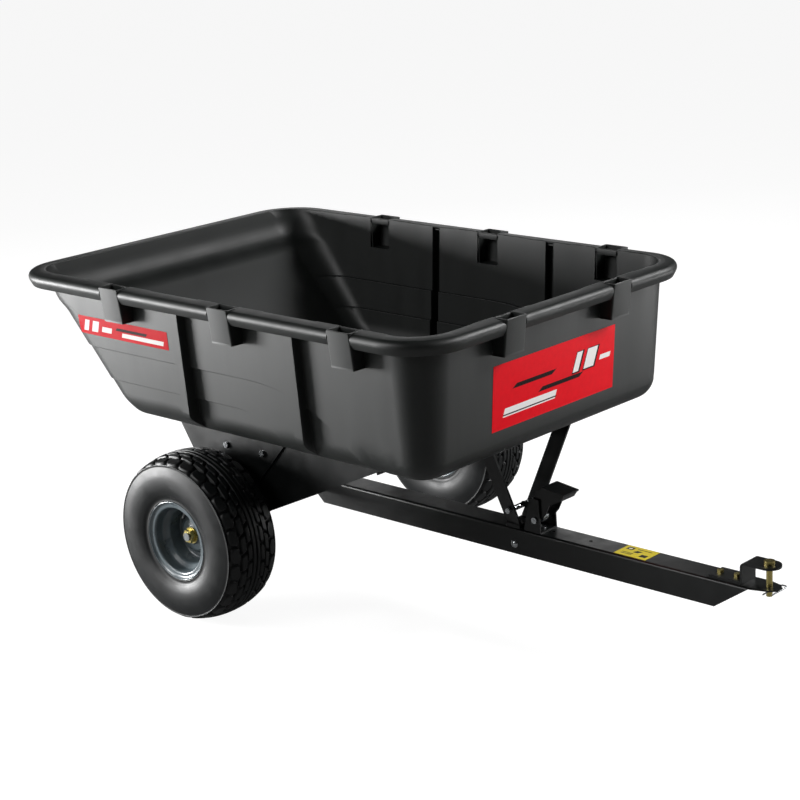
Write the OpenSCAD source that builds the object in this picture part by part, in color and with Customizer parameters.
// Tow-behind dump cart: a moulded plastic tub that tips on its axle, a steel
// tongue with a foot latch, and a pin hitch. Millimetres; +X runs towards the
// hitch, +Y to the cart's left, +Z up; the ground is z = 0 and x = 0 is the
// middle of the cart's length.

/* [Tub] */
// Length over the rim
tub_len = 1303; // [1240:1:1360]
// Width over the rim
tub_wid = 923; // [880:1:960]
// Height of the rim above the ground
rim_z = 727; // [715:1:740]
// Depth of the rim's outer skirt
rim_drop = 32; // [24:1:40]
// Width of the rim, from its outer edge to the wall
rim_w = 36; // [30:1:42]
// Plan radius of the rim's corners
rim_r = 124; // [100:1:140]
// Height of the tub's underside above the ground
floor_z = 412; // [406:1:420]
// Moulded wall thickness
wall_t = 5; // [4:0.5:7]
// Draft of the side walls, from mouth to floor
side_draft = 18; // [10:1:26]
// Draft of the front wall, from mouth to floor
front_draft = 20; // [10:1:28]
// Rake of the dump end, from horizontal
rake = 48.3; // [44:0.1:54]
// Fillet between walls and floor
floor_fillet = 54; // [40:1:60]

/* [Ribs and stake pockets] */
// Distance from the axle back to the rearmost side pocket
pocket_back = 204; // [190:1:215]
// Distance between side pockets
pocket_pitch = 354; // [340:1:360]
// Distance of each front pocket from the middle
front_pocket_y = 178; // [150:1:200]
// Outer width of a pocket
pocket_w = 64; // [56:1:70]
// Depth of a pocket below the rim
pocket_h = 74; // [60:1:80]
// Width of a wall rib
rib_w = 30; // [24:1:36]
// How far a rib stands out of the wall
rib_out = 21; // [15:1:25]
// How far a rib stands ahead of the middle between two side pockets
rib_ahead = 12; // [0:1:20]

/* [Wheels] */
// Tyre outside diameter
tyre_d = 380; // [370:1:386]
// Tyre width
tyre_w = 152; // [140:1:160]
// Radius of the steel wheel's flange
flange_r = 90; // [86:1:94]
// Distance between the two wheel planes
track = 860; // [852:1:870]
// Axle diameter
axle_d = 19; // [16:0.5:20]

/* [Tongue and hitch] */
// Width of the tongue channel
tongue_w = 66; // [60:1:70]
// Depth of the tongue channel
tongue_h = 58; // [50:1:62]
// Height of the tongue's top face
tongue_z = 203.5; // [200:0.5:206]
// Distance from the axle to the tongue's tip
tongue_reach = 1234; // [1210:1:1260]
// Distance from the axle to the hitch pin
pin_reach = 1209; // [1205:1:1212]
// Hitch pin diameter
pin_d = 12.7; // [12:0.1:13]
// Height of the hitch bracket's upper plate above the tongue
hitch_rise = 42; // [38:1:46]
// Distance between the two accessory holes in the tongue
hole_pitch = 101.6; // [96:0.1:104]
// Diameter of the accessory holes
hole_d = 8.8; // [8:0.1:9.5]

/* [Latch] */
// Distance from the axle to the pedal's pivot
pivot_reach = 638; // [634:1:642]
// Height of the pedal's pivot
pivot_z = 232; // [228:1:236]
// Distance from the axle to the striker bar
striker_reach = 588; // [584:1:590]
// Height of the striker bar
striker_z = 252; // [248:1:256]

/* [Hidden] */
$fn = 96;
hull_fn = 32;

// Places along the length, measured from the axle and then moved as a whole
tub_back = -572;
axle_x = -(tub_back + tongue_reach) / 2;
wheel_r = tyre_d / 2;
axle_r = axle_d / 2;
tub_front = tub_back + tub_len;
mouth_back = tub_back + rim_w;
mouth_front = tub_front - rim_w;
mouth_y = tub_wid / 2 - rim_w;
mouth_r = rim_r - rim_w;
foot_front = mouth_front - front_draft;
foot_y = mouth_y - side_draft;
foot_r = 67;
skirt_t = 5;

// Running clearance on a radius, and the gap left between parts that slide past
running = 0.05;
gap = 0.5;

// Steel sheet thicknesses
plate_t = 4;
channel_t = 3;
hitch_t = 5;

// Side plates of the undercarriage, from the centreline outwards
rail_y = 322;
bracket_y = rail_y + plate_t;
plates_end = bracket_y + plate_t;
flange_w = 36;
lobe_r = 28;
bush_r = 13;

// ---------- shared shapes ----------

// Rounded rectangle in plan
module plan(x0, x1, hw, r) {
    translate([x0, -hw + r]) square([x1 - x0, 2 * (hw - r)]);
    translate([x0 + r, -hw]) square([x1 - x0 - 2 * r, 2 * hw]);
    for (x = [x0 + r, x1 - r], y = [-hw + r, hw - r]) translate([x, y]) circle(r);
}

// An outline drawn in x and z, carried from y0 to y1
module side_plate(y0, y1) {
    translate([0, y1, 0]) rotate([90, 0, 0]) linear_extrude(y1 - y0) children();
}

// An outline drawn in y and z, carried from x0 to x1
module cross_plate(x0, x1) {
    translate([x0, 0, 0]) rotate([90, 0, 90]) linear_extrude(x1 - x0) children();
}

module rod_y(x, z, y0, y1, r) {
    translate([x, y0, z]) rotate([-90, 0, 0]) cylinder(h = y1 - y0, r = r);
}

module rod_z(x, y, z0, z1, r) {
    translate([x, y, z0]) cylinder(h = z1 - z0, r = r);
}

// Hexagonal prism standing along z, across-flats size af
module hex_z(x, y, z0, z1, af) {
    translate([x, y, z0]) cylinder(h = z1 - z0, r = af / sqrt(3), $fn = 6);
}

module hex_y(x, z, y0, y1, af) {
    translate([x, y0, z]) rotate([-90, 0, 0]) cylinder(h = y1 - y0, r = af / sqrt(3), $fn = 6);
}

module both_sides() {
    children();
    mirror([0, 1, 0]) children();
}

// Places a part that is drawn from the axle
module on_cart() {
    translate([axle_x, 0, 0]) children();
}

// ---------- tub ----------

// Round-edged disc: the tub's lower corner
module corner_disc(x, y, fillet) {
    translate([x, y, floor_z + floor_fillet])
        rotate_extrude($fn = hull_fn)
            intersection() {
                union() {
                    translate([foot_r - floor_fillet, 0]) circle(fillet, $fn = hull_fn);
                    translate([0, -fillet]) square([foot_r - floor_fillet, 2 * fillet]);
                }
                translate([0, -fillet]) square([foot_r, 2 * fillet]);
            }
}

// Centre of the rear lower corners, set so that the dump end has its rake
disc_reach = (foot_r - floor_fillet) * sin(rake) + floor_fillet;
rake_offset = -sin(rake) * mouth_back - cos(rake) * rim_z;
foot_back = -(rake_offset - disc_reach + cos(rake) * (floor_z + floor_fillet)) / sin(rake);

// The tub's convex form, shrunk all round by inset
module tub_form(inset) {
    r = mouth_r - inset;
    hull() {
        for (x = [mouth_back + mouth_r, mouth_front - mouth_r])
            for (s = [-1, 1])
                translate([x, s * (mouth_y - mouth_r), rim_z - 1])
                    cylinder(h = 1 + inset, r = r, $fn = hull_fn);
        for (x = [foot_back, foot_front - foot_r])
            for (s = [-1, 1])
                corner_disc(x, s * (foot_y - foot_r), floor_fillet - inset);
    }
}

pocket_xs = [for (i = [0:2]) -pocket_back + i * pocket_pitch];
rib_xs = [for (i = [0:1]) -pocket_back + (i + 0.5) * pocket_pitch + rib_ahead];
pocket_floor = rim_z - pocket_h;
pocket_top = rim_z + 1.5;
pocket_t = 4;

// A pocket's outer face leans out from here at its foot to here at its top,
// measured outwards from the wall's mouth line
pocket_foot_out = 27;
pocket_top_out = rim_w + 1;

// Outline in y and z of a rib: it follows the wall down and turns under the floor
function rib_outline(grow) = [
    [mouth_y - 30, rim_z - 10], [mouth_y + rib_out + grow, rim_z - 10],
    [foot_y + rib_out - 2 + grow, floor_z + 90], [foot_y - 4 + grow, floor_z + 22],
    [foot_y - 34, floor_z - 3 - grow], [foot_y - 60, floor_z + 2]
];

// Pocket section, outwards and up: back is how far it reaches into the tub and
// inset how far its faces lie inside the outer ones
function pocket_outline(back, inset) = [
    [-back, pocket_floor + inset], [pocket_foot_out - inset, pocket_floor + inset],
    [pocket_top_out - inset, pocket_top + (inset > 0 ? 1 : 0)],
    [-back, pocket_top + (inset > 0 ? 1 : 0)]
];

module side_pocket(x, back, inset) {
    w = pocket_w - 2 * inset;
    both_sides() translate([0, mouth_y, 0]) cross_plate(x - w / 2, x + w / 2)
        polygon(pocket_outline(back, inset));
}

module front_pocket(y, back, inset) {
    w = pocket_w - 2 * inset;
    translate([mouth_front, 0, 0]) side_plate(y - w / 2, y + w / 2)
        polygon(pocket_outline(back, inset));
}

module rib(x) {
    both_sides() cross_plate(x - rib_w / 2, x + rib_w / 2) polygon(rib_outline(0));
}

// The groove that each rib leaves inside the tub
module rib_hollow(x) {
    w = rib_w - 2 * pocket_t;
    both_sides()
        cross_plate(x - w / 2, x + w / 2)
            polygon([
                [mouth_y - 40, rim_z - 26], [mouth_y + rib_out - 7, rim_z - 26],
                [foot_y + rib_out - 9, floor_z + 90], [foot_y - 14, floor_z + 30],
                [foot_y - 50, floor_z + 30]
            ]);
}

module rim() {
    difference() {
        translate([0, 0, rim_z - rim_drop]) linear_extrude(rim_drop)
            plan(tub_back, tub_front, tub_wid / 2, rim_r);
        translate([0, 0, rim_z - rim_drop - 1]) linear_extrude(rim_drop + 1 - skirt_t)
            plan(tub_back + skirt_t, tub_front - skirt_t, tub_wid / 2 - skirt_t, rim_r - skirt_t);
    }
}

bed_bolt_xs = [-100, 150, 385];
bed_bolt_y = rail_y - 20;
bed_bolt_d = 8;
strut_x = 598;
strut_foot_y = 156;

// Low round bosses inside the floor, each with a threaded insert for a bolt
// that comes up from below
floor_bolt_spots = concat(
    [for (x = bed_bolt_xs, s = [-1, 1]) [x, s * bed_bolt_y]],
    [for (s = [-1, 1]) [strut_x, s * strut_foot_y]]
);
boss_r = 13;
boss_h = 12.5;
insert_r = 6.5;
insert_h = 10;

module tub() {
    color("#1d1f1e") on_cart() difference() {
        union() {
            difference() {
                union() {
                    rim();
                    tub_form(0);
                    for (x = rib_xs) rib(x);
                    for (x = pocket_xs) side_pocket(x, 12, 0);
                    for (s = [-1, 1]) front_pocket(s * front_pocket_y, 12, 0);
                }
                tub_form(wall_t);
                for (x = rib_xs) rib_hollow(x);
                for (x = pocket_xs) side_pocket(x, 30, pocket_t);
                for (s = [-1, 1]) front_pocket(s * front_pocket_y, 30, pocket_t);
            }
            for (p = floor_bolt_spots) rod_z(p[0], p[1], floor_z, floor_z + boss_h, boss_r);
        }
        for (p = floor_bolt_spots) rod_z(p[0], p[1], floor_z - 1, floor_z + insert_h, insert_r);
    }
}

module floor_inserts() {
    color("#b08d4a") on_cart() for (p = floor_bolt_spots) difference() {
        rod_z(p[0], p[1], floor_z, floor_z + insert_h, insert_r);
        rod_z(p[0], p[1], floor_z - 1, floor_z + insert_h + 1, bed_bolt_d / 2);
    }
}

// Decals lie a hair off the walls and lean with them
decal_t = 0.4;
wall_drop = rim_z - floor_z - floor_fillet;
front_lean = atan(front_draft / wall_drop);
side_lean = atan(side_draft / wall_drop);
front_decal_w = 409;
front_decal_h = 144;
front_decal_z = 552;
side_decal_w = 306;
side_decal_h = 42;
side_decal_z = 618;
side_decal_x = -218;

module front_panel_decal() {
    drop = rim_z - front_decal_z;
    color("#c3112c") on_cart()
        translate([mouth_front - drop * tan(front_lean) + 0.3, 0, front_decal_z])
            rotate([0, front_lean, 0])
                translate([0, -front_decal_w / 2, -front_decal_h / 2])
                    cube([decal_t, front_decal_w, front_decal_h]);
}

module side_decal() {
    drop = rim_z - side_decal_z;
    color("#c3112c") on_cart()
        translate([side_decal_x, mouth_y - drop * tan(side_lean) + 0.3, side_decal_z])
            rotate([-side_lean, 0, 0])
                translate([-side_decal_w / 2, 0, -side_decal_h / 2])
                    cube([side_decal_w, decal_t, side_decal_h]);
}

module left_side_decal() side_decal();
module right_side_decal() mirror([0, 1, 0]) side_decal();

// ---------- undercarriage that tips with the tub ----------

// Outer plate: a V from the floor down to the axle, with a flange turned outwards
module axle_bracket() {
    color("#151617") on_cart() difference() {
        union() {
            side_plate(bracket_y, plates_end) union() {
                polygon([
                    [-155, floor_z], [201, floor_z], [lobe_r * 0.74, wheel_r + lobe_r * 0.67],
                    [-lobe_r * 0.84, wheel_r + lobe_r * 0.54]
                ]);
                translate([0, wheel_r]) circle(lobe_r);
            }
            side_plate(bracket_y, plates_end + 18)
                translate([-155, floor_z - plate_t]) square([356, plate_t]);
        }
        rod_y(0, wheel_r, bracket_y - 1, plates_end + 1, bush_r);
        for (p = bracket_bolt_spots)
            rod_y(p[0], p[1], bracket_y - 1, plates_end + 1, bracket_bolt_d / 2);
    }
}

// Where the two plates are bolted together, in x and z
bracket_bolt_spots = [[5, 296], [39, 265], [5, 370], [120, 370]];
bracket_bolt_d = 8;

// Inner plate: runs forward under the floor, with a flange turned inwards
module bed_rail() {
    color("#151617") on_cart() difference() {
        union() {
            side_plate(rail_y, bracket_y) union() {
                polygon([
                    [-60, floor_z], [490, floor_z], [490, floor_z - 10], [127, 236],
                    [lobe_r * 0.5, wheel_r - lobe_r * 0.86], [-lobe_r, wheel_r]
                ]);
                translate([0, wheel_r]) circle(lobe_r);
            }
            side_plate(rail_y - flange_w, bracket_y)
                translate([-150, floor_z - plate_t]) square([640, plate_t]);
        }
        rod_y(0, wheel_r, rail_y - 1, bracket_y + 1, bush_r);
        for (p = bracket_bolt_spots)
            rod_y(p[0], p[1], rail_y - 1, bracket_y + 1, bracket_bolt_d / 2);
        for (x = bed_bolt_xs)
            rod_z(x, bed_bolt_y, floor_z - plate_t - 1, floor_z + 1, bed_bolt_d / 2);
    }
}

module axle_bracket_left() axle_bracket();
module axle_bracket_right() mirror([0, 1, 0]) axle_bracket();
module bed_rail_left() bed_rail();
module bed_rail_right() mirror([0, 1, 0]) bed_rail();

// Hex bolts with nuts that clamp the two plates on each side
module bracket_bolts() {
    color("#8d8f90") on_cart() both_sides() for (p = bracket_bolt_spots) {
        rod_y(p[0], p[1], rail_y - 9, plates_end, bracket_bolt_d / 2);
        hex_y(p[0], p[1], plates_end, plates_end + 5.5, 13);
        difference() {
            hex_y(p[0], p[1], rail_y - 6.8, rail_y, 13);
            rod_y(p[0], p[1], rail_y - 7, rail_y + 1, bracket_bolt_d / 2 - 0.5);
        }
    }
}

// Flanged bushes that let the plates turn on the axle
module bracket_bushes() {
    color("#3a3b3c") on_cart() both_sides() difference() {
        union() {
            rod_y(0, wheel_r, rail_y, plates_end, bush_r);
            rod_y(0, wheel_r, plates_end, plates_end + 2, bush_r + 5);
            rod_y(0, wheel_r, rail_y - 2, rail_y, bush_r + 5);
        }
        rod_y(0, wheel_r, rail_y - 3, plates_end + 3, axle_r + running);
    }
}

// Channel that ties the two rails together near the front
module front_cross_rail() {
    x = 440;
    z = floor_z - plate_t;
    color("#151617") on_cart() difference() {
        translate([x - 20, -rail_y, z - 26]) cube([40, 2 * rail_y, 26]);
        translate([x - 20 + channel_t, -rail_y - 1, z - 27])
            cube([40 - 2 * channel_t, 2 * rail_y + 2, 27 - channel_t]);
    }
}

// Hex bolts with washers, from under the rails up into the floor's inserts
module bed_bolts() {
    color("#8d8f90") on_cart() for (x = bed_bolt_xs, s = [-1, 1])
        floor_bolt(x, s * bed_bolt_y, floor_z - plate_t);
}

module floor_bolt(x, y, under) {
    rod_z(x, y, under - 2, floor_z + insert_h - 1, bed_bolt_d / 2);
    rod_z(x, y, under - 1.6, under, 9);
    hex_z(x, y, under - 6.9, under - 1.6, 13);
}

// Flat-bar strut from the floor down to a foot that rests on the tongue
strut_w = 38;
strut_t = 5;
strut_low = [578, 26, tongue_z + 9];
strut_high = [strut_x, 132, floor_z - 2];
strut_run = strut_high - strut_low;
strut_l = norm(strut_run);
strut_tilt = asin(strut_run[1] / strut_l);
strut_lean = atan(strut_run[0] / strut_run[2]);
foot_gap = 0.4;

module strut() {
    color("#151617") on_cart() difference() {
        union() {
            translate(strut_low) rotate([-strut_tilt, strut_lean, 0])
                translate([-strut_w / 2, -strut_t / 2, -2]) cube([strut_w, strut_t, strut_l + 2]);
            translate([strut_x - strut_w / 2, strut_high[1] - 3, floor_z - strut_t])
                cube([strut_w, 46, strut_t]);
            translate([strut_low[0] - strut_w / 2, 10, tongue_z + foot_gap])
                cube([strut_w, 21, strut_t + 4]);
        }
        rod_y(striker_reach, striker_z, 0, 120, striker_r);
        rod_z(strut_x, strut_foot_y, floor_z - strut_t - 1, floor_z + 1, bed_bolt_d / 2);
        translate([400, -100, floor_z]) cube([300, 300, 20]);
        translate([400, -100, tongue_z - 20 + foot_gap]) cube([300, 300, 20]);
    }
}

module strut_left() strut();
module strut_right() mirror([0, 1, 0]) strut();

module strut_bolts() {
    color("#8d8f90") on_cart() for (s = [-1, 1])
        floor_bolt(strut_x, s * strut_foot_y, floor_z - strut_t);
}

// Round bar between the struts that the latch holds down
striker_r = 6;

module latch_striker() {
    color("#9a9c9e") on_cart() rod_y(striker_reach, striker_z, -60, 60, striker_r);
}

// ---------- tongue ----------

// Inverted U outline in y and z with rounded shoulders
module channel_outline(w, h, t, r) {
    difference() {
        union() {
            translate([-w / 2, -h]) square([w, h - r]);
            translate([-w / 2 + r, -r - 0.01]) square([w - 2 * r, r + 0.01]);
            for (s = [-1, 1]) translate([s * (w / 2 - r), -r]) circle(r);
        }
        translate([-w / 2 + t, -h - 1]) square([w - 2 * t, h + 1 - t]);
    }
}

web_end = 1100;
nose_start = 1180;
bolt_xs = [1094, 1134];
hitch_bolt_d = 8;
cross_bolt_x = 583;
cross_bolt_z = 168;
cross_bolt_d = 10;
holes_x = 716;
pilot_x = 659;

module tongue() {
    low = tongue_z - tongue_h;
    color("#17191a") on_cart() difference() {
        translate([0, 0, tongue_z]) cross_plate(-lobe_r, tongue_reach)
            channel_outline(tongue_w, tongue_h, channel_t, 6);
        // top web notched back to clear the pivot tube
        translate([-lobe_r - 1, -tongue_w / 2 + channel_t, tongue_z - 20])
            cube([lobe_r + 31, tongue_w - 2 * channel_t, 30]);
        // rear corners of the webs
        side_plate(-tongue_w, tongue_w)
            polygon([[-lobe_r - 1, low - 1], [-lobe_r - 1, low + 25], [0, low - 1]]);
        // side webs swept up towards the nose
        side_plate(-tongue_w, tongue_w)
            polygon([
                [web_end, low], [web_end, low - 1], [tongue_reach + 1, low - 1],
                [tongue_reach + 1, tongue_z - channel_t], [nose_start, tongue_z - channel_t]
            ]);
        // nose tapered in plan
        for (s = [-1, 1])
            translate([0, 0, tongue_z - 20]) linear_extrude(30)
                polygon([
                    [nose_start, s * (tongue_w / 2 + 0.01)], [tongue_reach - 11, s * 20],
                    [tongue_reach, s * 8], [tongue_reach + 1, s * 8],
                    [tongue_reach + 1, s * 50], [nose_start, s * 50]
                ]);
        rod_y(0, wheel_r, -tongue_w, tongue_w, axle_r);
        rod_y(cross_bolt_x, cross_bolt_z, -tongue_w, tongue_w, cross_bolt_d / 2);
        for (s = [-0.5, 0.5])
            rod_z(holes_x + s * hole_pitch, 0, tongue_z - 10, tongue_z + 1, hole_d / 2);
        rod_z(pilot_x, -3, tongue_z - 10, tongue_z + 1, 2);
        for (x = bolt_xs) rod_z(x, 0, tongue_z - 10, tongue_z + 1, hitch_bolt_d / 2);
        rod_z(pivot_reach - 2, 0, tongue_z - 10, tongue_z + 1, hitch_bolt_d / 2);
        rod_z(pin_reach, 0, tongue_z - 10, tongue_z + 1, pin_d / 2 + 0.35);
    }
}

// Tube that carries the axle between the tongue's webs
module pivot_tube() {
    y = tongue_w / 2 - channel_t;
    color("#202223") on_cart() difference() {
        rod_y(0, wheel_r, -y, y, 14);
        rod_y(0, wheel_r, -y - 1, y + 1, axle_r);
    }
}

hub_in = 388;
hub_out = 448;
axle_end = 466;

module axle() {
    color("#9a9c9e") on_cart() rod_y(0, wheel_r, -axle_end, axle_end, axle_r);
}

// Sleeves that keep the tub plates and the wheels in their places on the axle
module axle_spacers() {
    color("#2b2d2e") on_cart() both_sides() {
        spacer(tongue_w / 2, rail_y - 2 - gap);
        spacer(plates_end + 2 + gap, hub_in - gap);
    }
}

module spacer(y0, y1) {
    difference() {
        rod_y(0, wheel_r, y0, y1, bush_r);
        rod_y(0, wheel_r, y0 - 1, y1 + 1, axle_r);
    }
}

module axle_washers() {
    color("#b9a24c") on_cart() both_sides() difference() {
        rod_y(0, wheel_r, hub_out + gap, hub_out + gap + 2.5, 19);
        rod_y(0, wheel_r, hub_out, hub_out + 4, axle_r);
    }
}

module axle_nuts() {
    y = hub_out + gap + 2.5;
    color("#b9a24c") on_cart() both_sides() difference() {
        hex_y(0, wheel_r, y, y + 11, 27);
        rod_y(0, wheel_r, y - 1, y + 12, axle_r);
    }
}

module cross_bolt() {
    y = tongue_w / 2;
    color("#a8a9aa") on_cart() {
        rod_y(cross_bolt_x, cross_bolt_z, -y, y + 12, cross_bolt_d / 2);
        translate([cross_bolt_x, -y, cross_bolt_z]) rotate([90, 0, 0])
            intersection() {
                cylinder(h = 6, r = 9);
                translate([0, 0, -4.5]) sphere(10.5);
            }
    }
}

module cross_bolt_nut() {
    y = tongue_w / 2;
    color("#a8a9aa") on_cart() difference() {
        hex_y(cross_bolt_x, cross_bolt_z, y, y + 8.5, 17);
        rod_y(cross_bolt_x, cross_bolt_z, y - 1, y + 10, cross_bolt_d / 2);
    }
}

module tongue_label() {
    color("#dcd04a") on_cart()
        translate([846, -tongue_w / 2 + 6, tongue_z]) cube([81, tongue_w - 12, decal_t]);
}

// ---------- hitch ----------

// Z-shaped strap in x and z: base, bend, riser, bend, upper plate
module hitch_outline() {
    base_x = 1082;
    riser_x = 1156;
    bend = 11;
    top = tongue_z + hitch_rise + hitch_t;
    translate([base_x, tongue_z]) square([riser_x - base_x, hitch_t]);
    translate([riser_x, tongue_z]) square([hitch_t, hitch_rise + hitch_t - bend]);
    difference() {
        translate([riser_x + bend, top - bend]) circle(bend);
        translate([riser_x + bend, top - bend]) circle(bend - hitch_t);
        translate([riser_x + bend, top - 3 * bend]) square([3 * bend, 6 * bend]);
        translate([riser_x - bend, top - 3 * bend]) square([6 * bend, 2 * bend]);
    }
    translate([riser_x + bend, top - hitch_t]) square([pin_reach - riser_x - bend + 25, hitch_t]);
}

hitch_hw = 25;

module hitch_bracket() {
    color("#17191a") on_cart() difference() {
        intersection() {
            side_plate(-hitch_hw, hitch_hw) hitch_outline();
            translate([0, 0, tongue_z - 1]) linear_extrude(hitch_rise + 20) union() {
                translate([1000, -hitch_hw]) square([pin_reach - 1000, 2 * hitch_hw]);
                translate([pin_reach, 0]) circle(hitch_hw);
            }
        }
        rod_z(pin_reach, 0, tongue_z, tongue_z + 80, pin_d / 2 + 0.35);
        for (x = bolt_xs) rod_z(x, 0, tongue_z - 1, tongue_z + hitch_t + 1, hitch_bolt_d / 2);
    }
}

module hitch_bolts() {
    color("#c2a94e") on_cart() for (x = bolt_xs) {
        rod_z(x, 0, tongue_z - 14, tongue_z + hitch_t, hitch_bolt_d / 2);
        hex_z(x, 0, tongue_z + hitch_t, tongue_z + hitch_t + 5.3, 13);
    }
}

module hitch_nuts() {
    top = tongue_z - channel_t;
    color("#c2a94e") on_cart() for (x = bolt_xs) difference() {
        hex_z(x, 0, top - 6.8, top, 13);
        rod_z(x, 0, top - 8, top + 1, hitch_bolt_d / 2);
    }
}

clip_z = tongue_z - 10;
clip_r = 1.6;
pin_low = tongue_z - 20;

module hitch_pin() {
    top = tongue_z + hitch_rise + hitch_t;
    color("#c2b25a") on_cart() difference() {
        union() {
            rod_z(pin_reach, 0, pin_low, top, pin_d / 2);
            rod_z(pin_reach, 0, top, top + 8, 11);
        }
        rod_y(pin_reach, clip_z, -20, 20, clip_r + running);
    }
}

// Hairpin clip: a straight leg through the pin, a round bend, and a leg outside it
module hitch_clip() {
    bend_r = 8;
    bend_y = 34;
    color("#c9cbcc") on_cart() {
        rod_y(pin_reach, clip_z, -24, bend_y, clip_r);
        translate([pin_reach + bend_r, bend_y, clip_z])
            rotate_extrude(angle = 180) translate([bend_r, 0]) circle(clip_r, $fn = 24);
        rod_y(pin_reach + 2 * bend_r, clip_z, -14, bend_y, clip_r);
    }
}

// ---------- foot latch ----------

stand_y = 29;
cheek_y = 24;
latch_pin_r = 4;

module latch_stand() {
    z = tongue_z;
    color("#17191a") on_cart() difference() {
        union() {
            translate([607, -stand_y, z]) cube([46, 2 * stand_y, channel_t]);
            both_sides() side_plate(stand_y - channel_t, stand_y)
                polygon([[607, z], [653, z], [650, z + 77], [624, z + 77]]);
        }
        rod_y(pivot_reach, pivot_z, -40, 40, latch_pin_r);
        rod_z(pivot_reach - 2, 0, z - 1, z + 10, hitch_bolt_d / 2);
    }
}

module stand_bolt() {
    x = pivot_reach - 2;
    top = tongue_z + channel_t;
    under = tongue_z - channel_t;
    color("#8d8f90") on_cart() {
        rod_z(x, 0, under - 10, top, hitch_bolt_d / 2);
        rod_z(x, 0, top, top + 4, 8);
        difference() {
            hex_z(x, 0, under - 6.8, under, 13);
            rod_z(x, 0, under - 8, under + 1, hitch_bolt_d / 2 - 0.5);
        }
    }
}

module latch_pivot_pin() {
    color("#a8a9aa") on_cart() {
        rod_y(pivot_reach, pivot_z, -stand_y, stand_y + 3, latch_pin_r);
        rod_y(pivot_reach, pivot_z, -stand_y - 3.5, -stand_y, 7);
        rod_y(pivot_reach, pivot_z, stand_y, stand_y + 2, 6.5);
    }
}

// Torsion spring wound on the pivot pin, drawn as a round wire along a helix
spring_r = 8.5;
spring_wire = 1.1;
spring_turns = 6;
spring_pitch = 3;
ring_n = 18;
wire_n = 8;

function wire_point(i, j) =
    let (a = 360 * i / ring_n, b = 360 * j / wire_n, r = spring_r + spring_wire * cos(b))
    [r * cos(a), r * sin(a), spring_pitch * i / ring_n + spring_wire * sin(b)];

module latch_spring() {
    rings = spring_turns * ring_n;
    points = [for (i = [0:rings], j = [0:wire_n - 1]) wire_point(i, j)];
    walls = [for (i = [0:rings - 1], j = [0:wire_n - 1])
        [i * wire_n + j, i * wire_n + (j + 1) % wire_n,
         (i + 1) * wire_n + (j + 1) % wire_n, (i + 1) * wire_n + j]];
    ends = [[for (j = [wire_n - 1:-1:0]) j], [for (j = [0:wire_n - 1]) rings * wire_n + j]];
    color("#b8babb") on_cart()
        translate([pivot_reach, spring_turns * spring_pitch / 2, pivot_z]) rotate([90, 0, 0])
            polyhedron(points, concat(walls, ends), convexity = 8);
}

// Pedal: two cheeks on the pivot, a tread plate on top, a web behind and a nose
// on each cheek that reaches over the striker bar
nose_x = striker_reach + striker_r + 0.6;
tread = [[657, 306], [716, 298.5], [716.5, 302.5], [657.5, 310]];

module foot_pedal() {
    color("#1b1d1e") on_cart() difference() {
        union() {
            both_sides() side_plate(cheek_y - channel_t, cheek_y) union() {
                polygon([
                    [pivot_reach - 10, pivot_z + 2], [pivot_reach - 4, pivot_z - 8],
                    [pivot_reach + 5, pivot_z - 8], [664, 248], [675, 271], [706, 286],
                    [715, 299], [657, 307], [641, 296], [628, 270], [600, 267],
                    [nose_x, 260], [nose_x + 1, 257], [624, 254]
                ]);
                translate([pivot_reach, pivot_z]) circle(10);
            }
            side_plate(-27, 27) polygon(tread);
            side_plate(-cheek_y, cheek_y)
                polygon([[628, 268], [631, 266], [645, 294], [660, 304], [658, 307.5], [641, 297]]);
            side_plate(-cheek_y, cheek_y)
                polygon([[715, 299], [706, 286], [703.5, 287.5], [711, 300]]);
        }
        rod_y(pivot_reach, pivot_z, -40, 40, latch_pin_r + running);
    }
}

// ---------- wheels ----------

// Tyre section: half-width and radius along the outside, from bead to bead.
// The crown is a shallow arc, the shoulder is round and the sidewall bulges.
side_half = tyre_w / 2;
bead_r = 76;
bead_u = 60;
shoulder_u = 66;
crown_edge = wheel_r - 12;

function crown(u) = wheel_r - 12 * pow(abs(u) / shoulder_u, 2.2);
function sidewall(t) = [
    bead_u + 8 + (side_half - bead_u - 8) * sin(180 * pow(t, 0.8)),
    flange_r + 2 + (crown_edge - flange_r - 2) * t
];

// The bead fills the space inside the flange and rises over its rolled edge
bead_outside = [[66.5, flange_r + 0.4], [62.6, flange_r + 0.4], [bead_u, flange_r - 3.4], [bead_u, bead_r]];

tyre_outside = concat(
    [for (i = [-10:10]) [shoulder_u * i / 10, crown(shoulder_u * i / 10)]],
    [for (i = [7:-1:0]) sidewall(i / 8)],
    bead_outside
);
tyre_inside = [
    [bead_u - 12, bead_r], [bead_u - 8, 96], [side_half - 12, 120], [side_half - 11, 145],
    [shoulder_u - 6, 166], [30, wheel_r - 15], [-30, wheel_r - 15], [-shoulder_u + 6, 166],
    [-side_half + 11, 145], [-side_half + 12, 120], [-bead_u + 8, 96], [-bead_u + 12, bead_r]
];

// Revolves a section given as [outboard, radius] about the left wheel's axis
module wheel_round(section) {
    on_cart() translate([0, track / 2, wheel_r]) rotate([-90, 0, 0])
        rotate_extrude() polygon([for (p = section) [p[1], p[0]]]);
}

module tyre() {
    other_side = [for (i = [0:7]) [-sidewall(i / 8)[0], sidewall(i / 8)[1]]];
    color("#232424") wheel_round(concat(
        tyre_outside, tyre_inside,
        [for (i = [3:-1:0]) [-bead_outside[i][0], bead_outside[i][1]]], other_side));
}

// Pressed steel wheel: two flanges, bead seats, a drop centre, and a dished
// disc that runs in to the hub tube
rim_t = 2.5;
dish_u = -4;
hub_r = 17;

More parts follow.
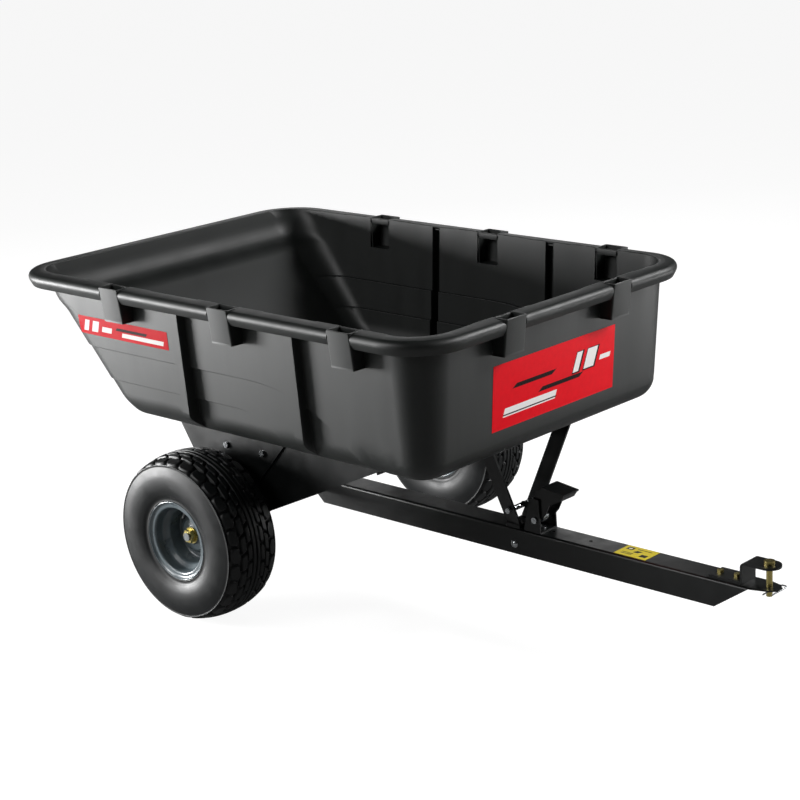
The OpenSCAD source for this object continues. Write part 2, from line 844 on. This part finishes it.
module wheel_rim() {
    hub_u0 = hub_in - track / 2;
    hub_u1 = hub_out - track / 2;
    color("#5d6163") difference() {
        wheel_round([
            [-66, flange_r], [-63, flange_r], [-bead_u, flange_r - 4], [-bead_u, bead_r],
            [-40, bead_r], [-30, 64], [30, 64], [40, bead_r], [bead_u, bead_r],
            [bead_u, flange_r - 4], [63, flange_r], [66, flange_r], [66, flange_r - rim_t],
            [bead_u + rim_t, flange_r - 7], [bead_u + rim_t, bead_r - rim_t],
            [41, bead_r - rim_t], [31, 64 - rim_t],
            [dish_u + rim_t, 64 - rim_t], [dish_u + rim_t, 58], [14, 36], [16, hub_r + 4],
            [hub_u1, hub_r], [hub_u1, bush_out_r], [hub_u0, bush_out_r], [hub_u0, hub_r],
            [16 - rim_t, hub_r], [14 - rim_t, 36 - rim_t], [dish_u, 58 - rim_t],
            [dish_u, 64 - rim_t], [-31, 64 - rim_t], [-41, bead_r - rim_t],
            [-bead_u - rim_t, bead_r - rim_t], [-bead_u - rim_t, flange_r - 7],
            [-66, flange_r - rim_t]
        ]);
        on_cart() valve_line() cylinder(h = 16, r = valve_r, center = true);
    }
}

// Places a shape at the valve hole, with +Z leaning outboard and in to the hub
module valve_line() {
    translate([0, track / 2 + 24, wheel_r + 64]) rotate([-140, 0, 0]) children();
}
valve_r = 5.5;

bush_out_r = 13.5;

// Two flanged nylon bushes in each hub
module hub_bushes() {
    color("#d8d4c8") on_cart() for (end = [0, 1]) {
        y0 = end == 0 ? hub_in : hub_out - 24;
        difference() {
            rod_y(0, wheel_r, y0, y0 + 24, bush_out_r);
            rod_y(0, wheel_r, y0 - 1, y0 + 25, axle_r + running);
        }
    }
}

// Rubber valve stem through the wheel's well, with its cap
module valve_stem() {
    color("#1a1a1a") on_cart() valve_line() {
        translate([0, 0, -7]) cylinder(h = 14.5, r = valve_r);
        translate([0, 0, 7.5]) cylinder(h = 9, r1 = valve_r, r2 = 4);
        translate([0, 0, 16.5]) cylinder(h = 9, r = 3.6);
    }
}

module tyre_left() tyre();
module tyre_right() mirror([0, 1, 0]) tyre();
module wheel_rim_left() wheel_rim();
module wheel_rim_right() mirror([0, 1, 0]) wheel_rim();
module hub_bushes_left() hub_bushes();
module hub_bushes_right() mirror([0, 1, 0]) hub_bushes();
module valve_stem_left() valve_stem();
module valve_stem_right() mirror([0, 1, 0]) valve_stem();

tub();
front_panel_decal();
right_side_decal();
left_side_decal();
axle_bracket_right();
axle_bracket_left();
bed_rail_right();
bed_rail_left();
bracket_bolts();
bracket_bushes();
front_cross_rail();
bed_bolts();
floor_inserts();
strut_right();
strut_left();
strut_bolts();
latch_striker();
tongue();
pivot_tube();
axle();
axle_spacers();
axle_washers();
axle_nuts();
cross_bolt();
cross_bolt_nut();
tongue_label();
hitch_bracket();
hitch_bolts();
hitch_nuts();
hitch_pin();
hitch_clip();
latch_stand();
stand_bolt();
latch_pivot_pin();
latch_spring();
foot_pedal();
tyre_right();
tyre_left();
wheel_rim_right();
wheel_rim_left();
hub_bushes_right();
hub_bushes_left();
valve_stem_right();
valve_stem_left();
